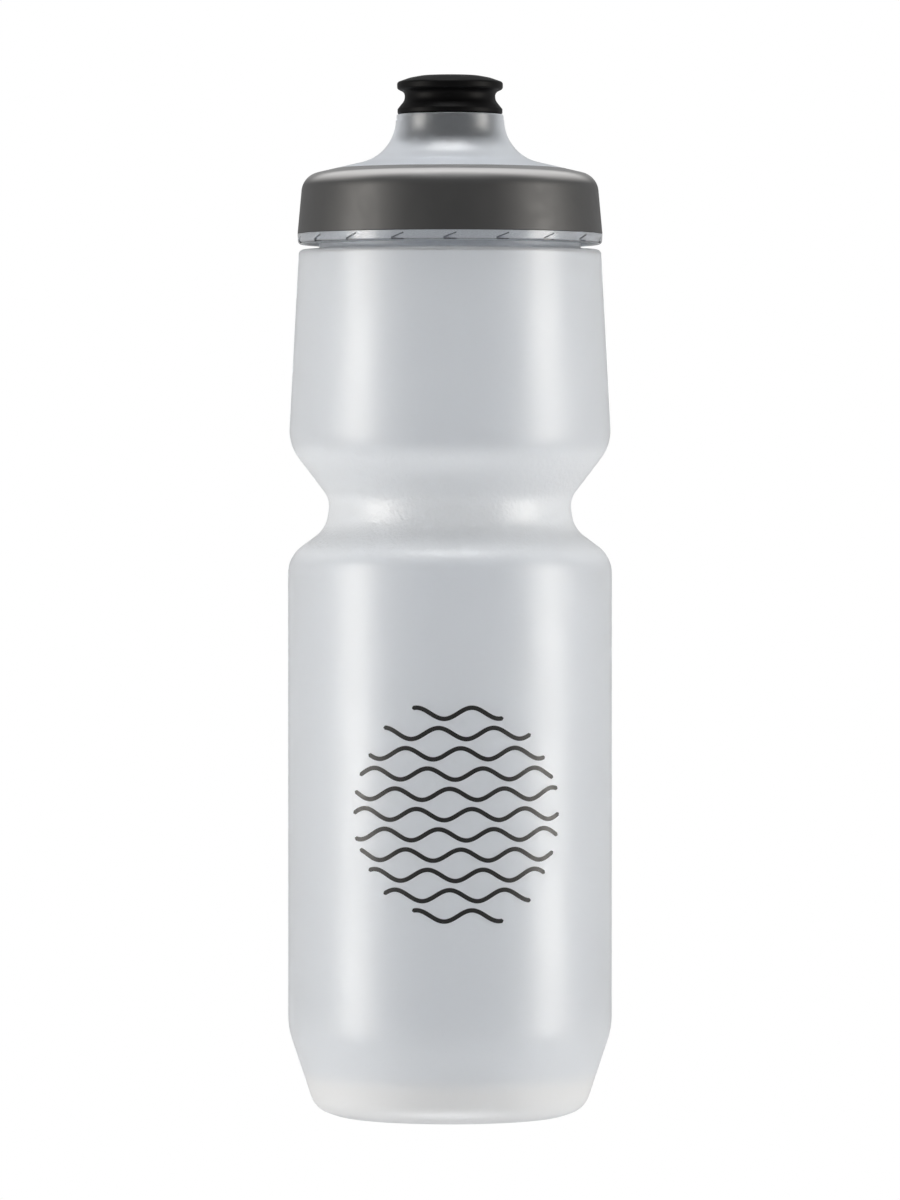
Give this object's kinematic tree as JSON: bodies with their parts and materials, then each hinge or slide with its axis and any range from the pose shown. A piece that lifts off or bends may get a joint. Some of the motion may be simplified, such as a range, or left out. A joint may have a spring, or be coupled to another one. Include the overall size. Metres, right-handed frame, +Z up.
{
  "type": "bicycle water bottle",
  "caption": "Squeezable drinking bottle with a grooved waist, a screw cap with a soft grip band and a push-pull nozzle.",
  "frame": {"origin": "centre of the standing face under the base, at rest with the cap tight and the nozzle closed", "axes": "+Z up along the bottle's axis, the printed side faces -Y"},
  "size_m": [0.074, 0.074, 0.238],
  "materials": {
    "bottle_ldpe": "translucent, satin",
    "gasket_silicone": "matt",
    "cap_clear_pp": "translucent, gloss",
    "band_soft_grey": "soft-touch satin",
    "insert_white_pp": "satin",
    "seal_black_rubber": "matt",
    "sleeve_black_pp": "satin",
    "mouthpiece_black_soft": "satin",
    "valve_silicone": "translucent, satin"
  },
  "bodies": {
    "bottle": {"bottle_shell": "bottle_ldpe"},
    "gasket": {"cap_gasket": "gasket_silicone"},
    "cap": {"cap_shell": "cap_clear_pp", "grip_band": "band_soft_grey", "stopper_insert": "insert_white_pp"},
    "seal_ring": {"nozzle_seal_ring": "seal_black_rubber"},
    "nozzle": {"nozzle_sleeve": "sleeve_black_pp", "mouthpiece": "mouthpiece_black_soft", "slit_valve": "valve_silicone", "valve_retainer": "sleeve_black_pp"}
  },
  "joints": [
    {"name": "cap_lift", "type": "slide", "parent": "bottle", "child": "gasket", "axis": [0, 0, 1], "range_m": [0, 0.018]},
    {"name": "cap_turn", "type": "hinge", "parent": "gasket", "child": "cap", "pos_m": [0, 0, 0.2], "axis": [0, 0, 1], "range_deg": [0, 1080]},
    {"name": "nozzle_pull", "type": "slide", "parent": "cap", "child": "seal_ring", "axis": [0, 0, 1], "range_m": [0, 0.005]},
    {"name": "nozzle_spin", "type": "hinge", "parent": "seal_ring", "child": "nozzle", "pos_m": [0, 0, 0.22], "axis": [0, 0, 1], "continuous": true}
  ],
  "couplings": [
    {"joint": "cap_lift", "follows": "cap_turn", "m_per_rad": 0.00095493}
  ]
}
